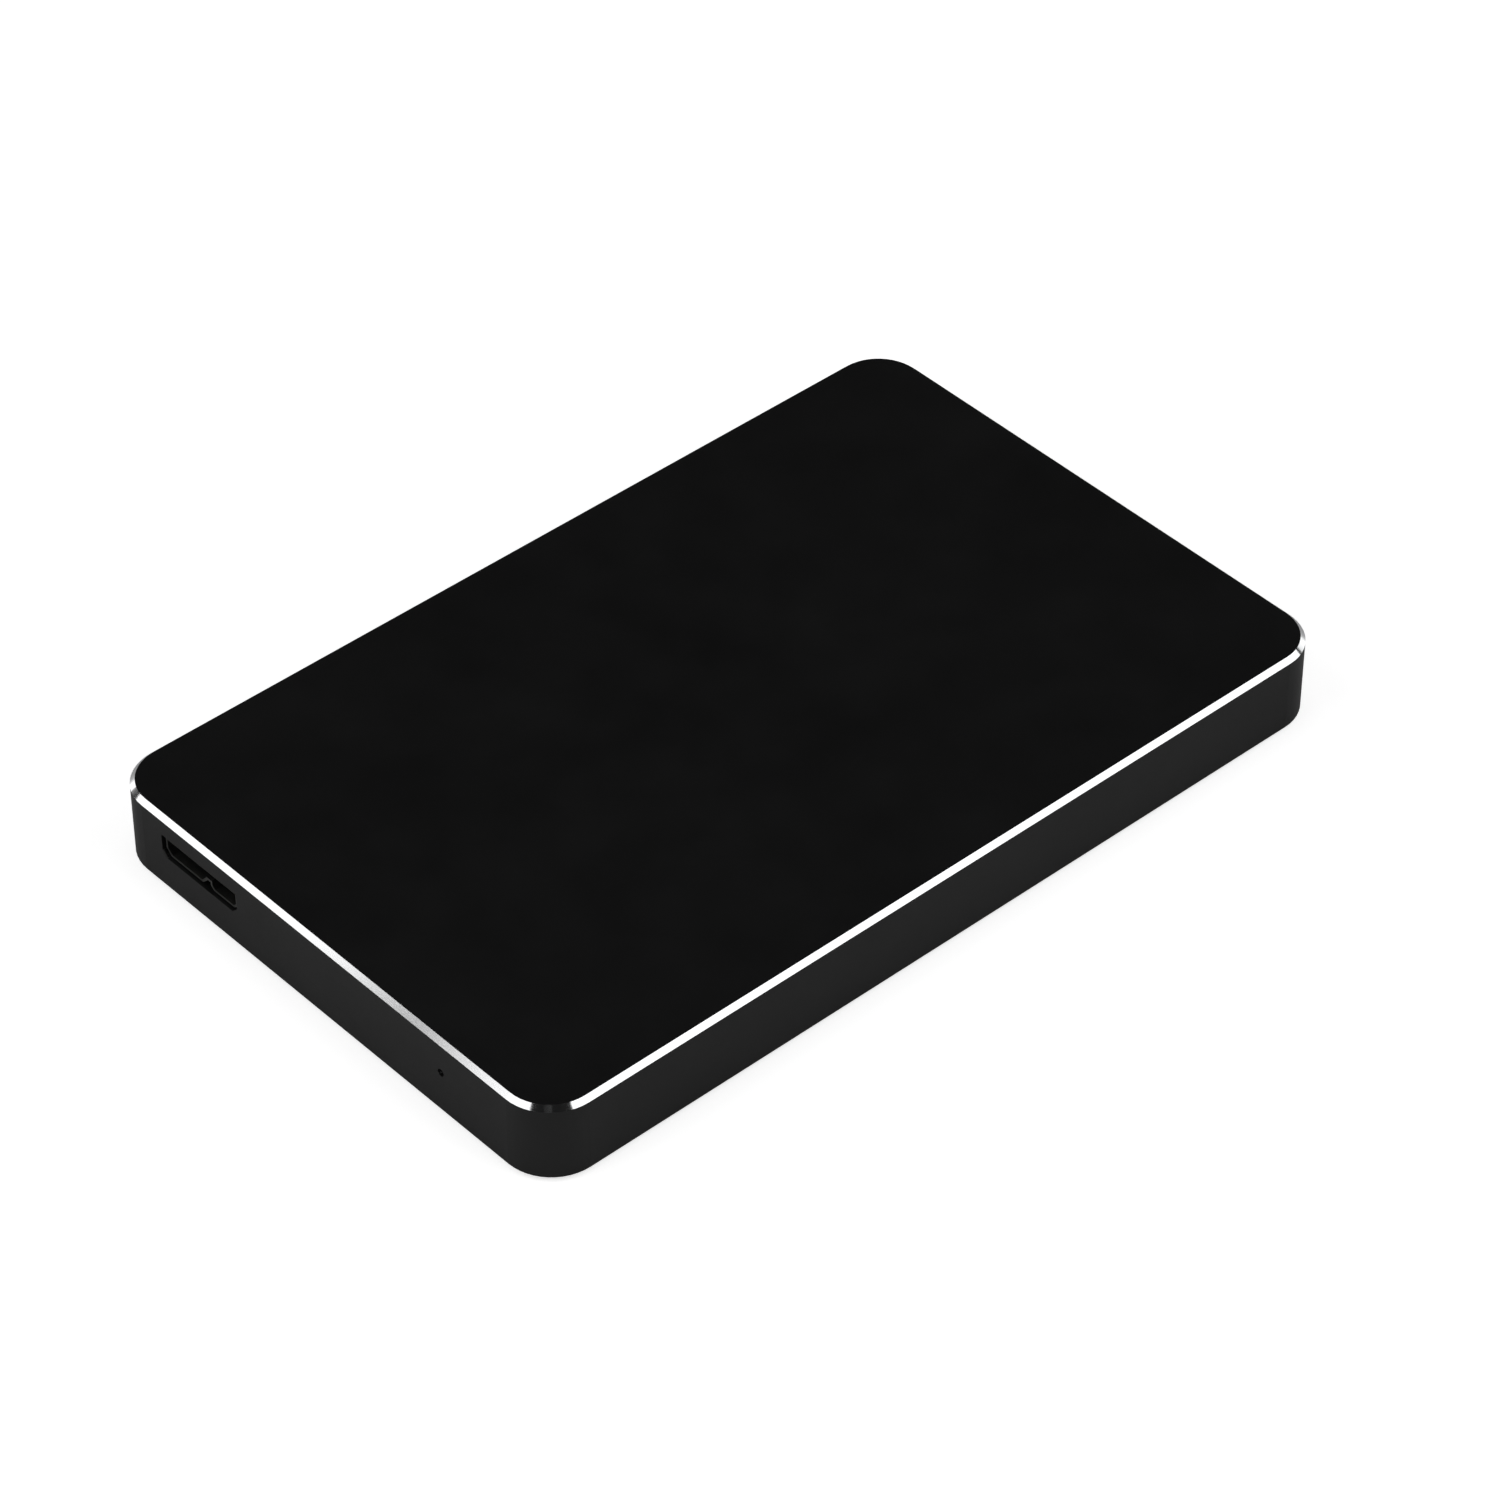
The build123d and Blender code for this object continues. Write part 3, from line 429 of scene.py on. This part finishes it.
def make_finishes():
    """A material for every slot in the record, by the slot's name."""
    made = {
        "anodised_case": anodised(),
        "cover_plastic": cover_plastic(),
        "foot_rubber": rubber(),
        "foam": foam(),
        "thermal_pad": thermal_pad(),
        "clear_guide": light_pipe(),
    }
    families = ((moulded, MOULDED), (plain_metal, PLAIN_METALS), (circuit_board, CIRCUIT_BOARDS))
    for make, family in families:
        for slot, values in family.items():
            made[slot] = make(slot, *values)
    return made


def dress_nodes(finishes):
    """Gives every CAD node the finish of its slot in the record."""
    for row in frame["record"]["subparts"]:
        for holder in nodes[row["node"]].material_slots:
            holder.material = finishes[row["material_slot"]]


def case_shell(skin, cut):
    """The shell again, with its two finishes: anodised all over, but bare on the cut edge."""
    mesh = nodes["top_shell"].data.copy()
    mesh.name = "case_shell"
    piece = bpy.data.objects.new("case_shell", mesh)
    scene.collection.objects.link(piece)
    mesh.materials.clear()
    mesh.materials.append(skin)
    mesh.materials.append(cut)
    low, high = CHAMFER_TILT
    for face in mesh.polygons:
        face.material_index = 1 if low < face.normal.z < high else 0
    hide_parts("top_shell")
    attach(piece, "root")


# ======================================================================
# Stage, lights and camera
# ======================================================================
def by_ray(tree, seen, bounced):
    """One shader for the camera's own rays and another for light that bounces."""
    path = add_node(tree, "ShaderNodeLightPath")
    mix = add_node(tree, "ShaderNodeMixShader")
    tree.links.new(path.outputs["Is Camera Ray"], mix.inputs["Fac"])
    tree.links.new(bounced, mix.inputs[1])
    tree.links.new(seen, mix.inputs[2])
    return mix.outputs["Shader"]


def glowing_paint(tree, away, tone, glow, between):
    """Matt paint that also glows, from one strength to another between two distances."""
    matt = add_node(tree, "ShaderNodeBsdfDiffuse")
    matt.inputs["Color"].default_value = (tone, tone, tone, 1)
    light = add_node(tree, "ShaderNodeEmission")
    tree.links.new(add_ramp(tree, away, *glow, *between), light.inputs["Strength"])
    both = add_node(tree, "ShaderNodeAddShader")
    tree.links.new(matt.outputs["BSDF"], both.inputs[0])
    tree.links.new(light.outputs["Emission"], both.inputs[1])
    return both.outputs["Shader"]


def floor_paint():
    """White to the camera. To bounced light it is greyer, and glows far off as a backdrop does."""
    paint = bpy.data.materials.new("floor_paint")
    paint.use_nodes = True
    tree = paint.node_tree
    tree.nodes.clear()
    output = add_node(tree, "ShaderNodeOutputMaterial")
    place = add_node(tree, "ShaderNodeTexCoord").outputs["Object"]
    length = add_node(tree, "ShaderNodeVectorMath", operation="LENGTH")
    tree.links.new(place, length.inputs[0])
    away = length.outputs["Value"]
    seen = glowing_paint(tree, away, **FLOOR_SEEN)
    bounced = glowing_paint(tree, away, **FLOOR_BOUNCED)
    tree.links.new(by_ray(tree, seen, bounced), output.inputs["Surface"])
    return paint


def floor():
    """A flat white square under the drive, out to FLOOR_REACH on every side."""
    far = FLOOR_REACH
    corners = [(-far, -far, 0), (far, -far, 0), (far, far, 0), (-far, far, 0)]
    mesh = bpy.data.meshes.new("floor")
    mesh.from_pydata(corners, [], [(0, 1, 2, 3)])
    mesh.materials.append(floor_paint())
    piece = bpy.data.objects.new("floor", mesh)
    scene.collection.objects.link(piece)


def surroundings():
    """White to the camera; to all else a dark room whose walls glow near the horizon."""
    world = bpy.data.worlds.new("studio")
    world.use_nodes = True
    tree = world.node_tree
    tree.nodes.clear()
    output = add_node(tree, "ShaderNodeOutputWorld")
    white = add_node(tree, "ShaderNodeBackground")
    white.inputs["Color"].default_value = WHITE
    room = add_node(tree, "ShaderNodeBackground")
    direction = add_node(tree, "ShaderNodeTexCoord").outputs["Generated"]
    height = add_node(tree, "ShaderNodeSeparateXYZ")
    tree.links.new(direction, height.inputs[0])
    glow = add_ramp(
        tree, height.outputs["Z"], HORIZON_GLOW, ROOM_GLOW, 0.0, ROOM_FADE,
        interpolation_type="SMOOTHSTEP",
    )
    tree.links.new(glow, room.inputs["Strength"])
    either = by_ray(tree, white.outputs["Background"], room.outputs["Background"])
    tree.links.new(either, output.inputs["Surface"])
    scene.world = world


def softbox(name, azimuth, elevation, width, height, radiance, distance=1.2):
    """A rectangular lamp that faces the drive. Azimuth 0 is on +X and turns towards +Y."""
    around = math.radians(azimuth)
    above = math.radians(elevation)
    way = Vector(
        (math.cos(around) * math.cos(above), math.sin(around) * math.cos(above), math.sin(above))
    )
    data = bpy.data.lights.new(name, "AREA")
    data.shape = "RECTANGLE"
    data.size = width
    data.size_y = height
    data.energy = radiance * math.pi * width * height
    lamp = bpy.data.objects.new(name, data)
    scene.collection.objects.link(lamp)
    lamp.location = way * distance
    lamp.rotation_mode = "QUATERNION"
    lamp.rotation_quaternion = way.to_track_quat("Z", "Y")


def lights():
    """Softboxes for the two visible sides and the roof, and smaller lamps for the cut edge.

    The gap between the two on the port side dims a stretch of the cut edge, as in the photo.
    The glint keeps that edge faintly lit round the near corner. The low backdrops whiten it
    where it turns away at the two side corners."""
    softbox("port_softbox_rear", -141.7, SIDE_ELEVATION, 0.545, SIDE_HEIGHT, PORT_RADIANCE)
    softbox("port_softbox_front", -105.4, SIDE_ELEVATION, 0.825, SIDE_HEIGHT, PORT_RADIANCE)
    softbox("right_softbox", 37, SIDE_ELEVATION, 1.3, SIDE_HEIGHT, RIGHT_RADIANCE)
    softbox("overhead", 0, 90, 0.6, 0.6, radiance=1.4, distance=1.4)
    softbox("corner_glint", -48, 49, 0.2, 0.2, radiance=0.12)
    softbox("left_backdrop", -175, BACKDROP_ELEVATION, *BACKDROP_SIZE, BACKDROP_RADIANCE)
    softbox("right_backdrop", 80, BACKDROP_ELEVATION, *BACKDROP_SIZE, BACKDROP_RADIANCE)


def camera():
    """Faces the middle of the roof, moved a little right and down to frame it as the photo does."""
    data = bpy.data.cameras.new("camera")
    data.sensor_width = SENSOR_MM
    data.lens = LENS_MM
    data.clip_start = CLIP_NEAR
    data.clip_end = CLIP_FAR
    eye = bpy.data.objects.new("camera", data)
    scene.collection.objects.link(eye)
    az, el = VIEW_AZIMUTH, VIEW_ELEVATION
    back = Vector((math.sin(az) * math.cos(el), -math.cos(az) * math.cos(el), math.sin(el)))
    right = Vector((math.cos(az), math.sin(az), 0))
    up = back.cross(right)
    place = back * VIEW_DISTANCE + right * VIEW_RIGHT + up * VIEW_UP
    place.z += ROOF
    turn = Matrix((right, up, back)).transposed().to_4x4()
    eye.matrix_world = Matrix.Translation(place) @ turn
    scene.camera = eye


finishes = make_finishes()
dress_nodes(finishes)
case_shell(finishes["anodised_case"], bright_cut())
floor()
surroundings()
lights()
camera()
scene.view_settings.view_transform = "Standard"
